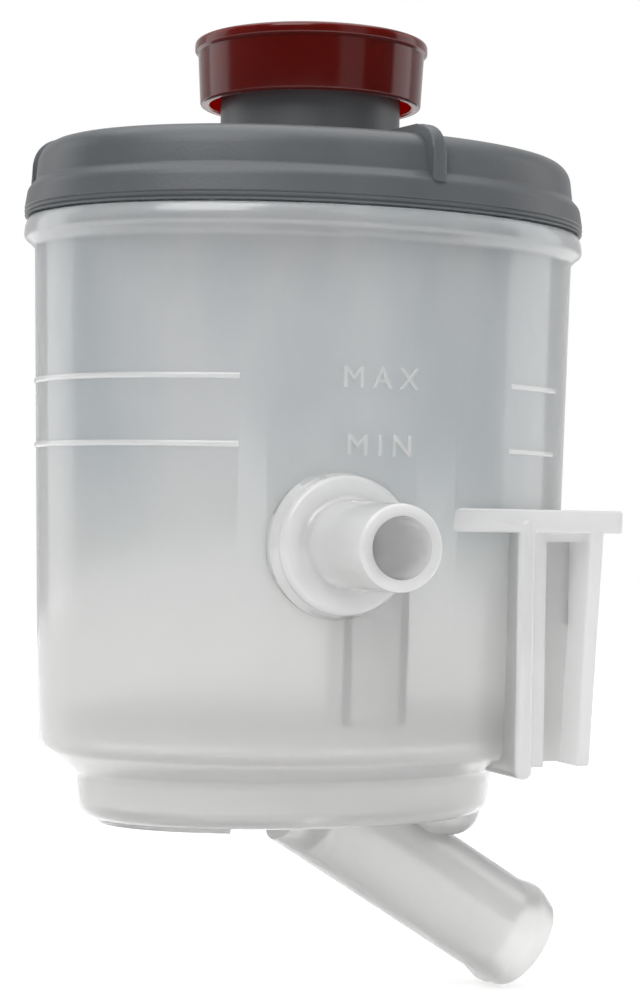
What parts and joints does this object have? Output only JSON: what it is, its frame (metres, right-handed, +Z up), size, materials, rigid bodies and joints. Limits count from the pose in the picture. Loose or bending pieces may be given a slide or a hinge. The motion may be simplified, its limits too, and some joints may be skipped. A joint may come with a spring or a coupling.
{
  "type": "power steering fluid reservoir",
  "caption": "oval translucent fluid tank with a grey welded lid, red push-on filler cap, front return port, slanted outlet pipe and side slide bracket",
  "frame": {"origin": "middle of the flat seat at the back of the bracket's slot, where the vehicle's bracket blade rests", "axes": "+Z up along the tank and the filler neck, -Y the front with the return port, +X the side with the slide bracket and the outlet pipe"},
  "size_m": [0.1027, 0.0986, 0.1718],
  "materials": {
    "tank_plastic": "natural, translucent, lightly glossy",
    "lid_plastic": "satin",
    "cap_plastic": "gloss",
    "seal_rubber": "matt",
    "baffle_plastic": "satin",
    "strainer_plastic": "satin",
    "screen_plastic": "matt"
  },
  "bodies": {
    "reservoir": {"tank": "tank_plastic", "lid": "lid_plastic", "strainer_frame": "strainer_plastic", "strainer_screen": "screen_plastic"},
    "cap": {"cap": "cap_plastic", "cap_seal": "seal_rubber", "cap_baffle": "baffle_plastic"}
  },
  "joints": [
    {"name": "cap_lift", "type": "slide", "parent": "reservoir", "child": "cap", "axis": [0, 0, 1], "range_m": [0, 0.035]}
  ]
}
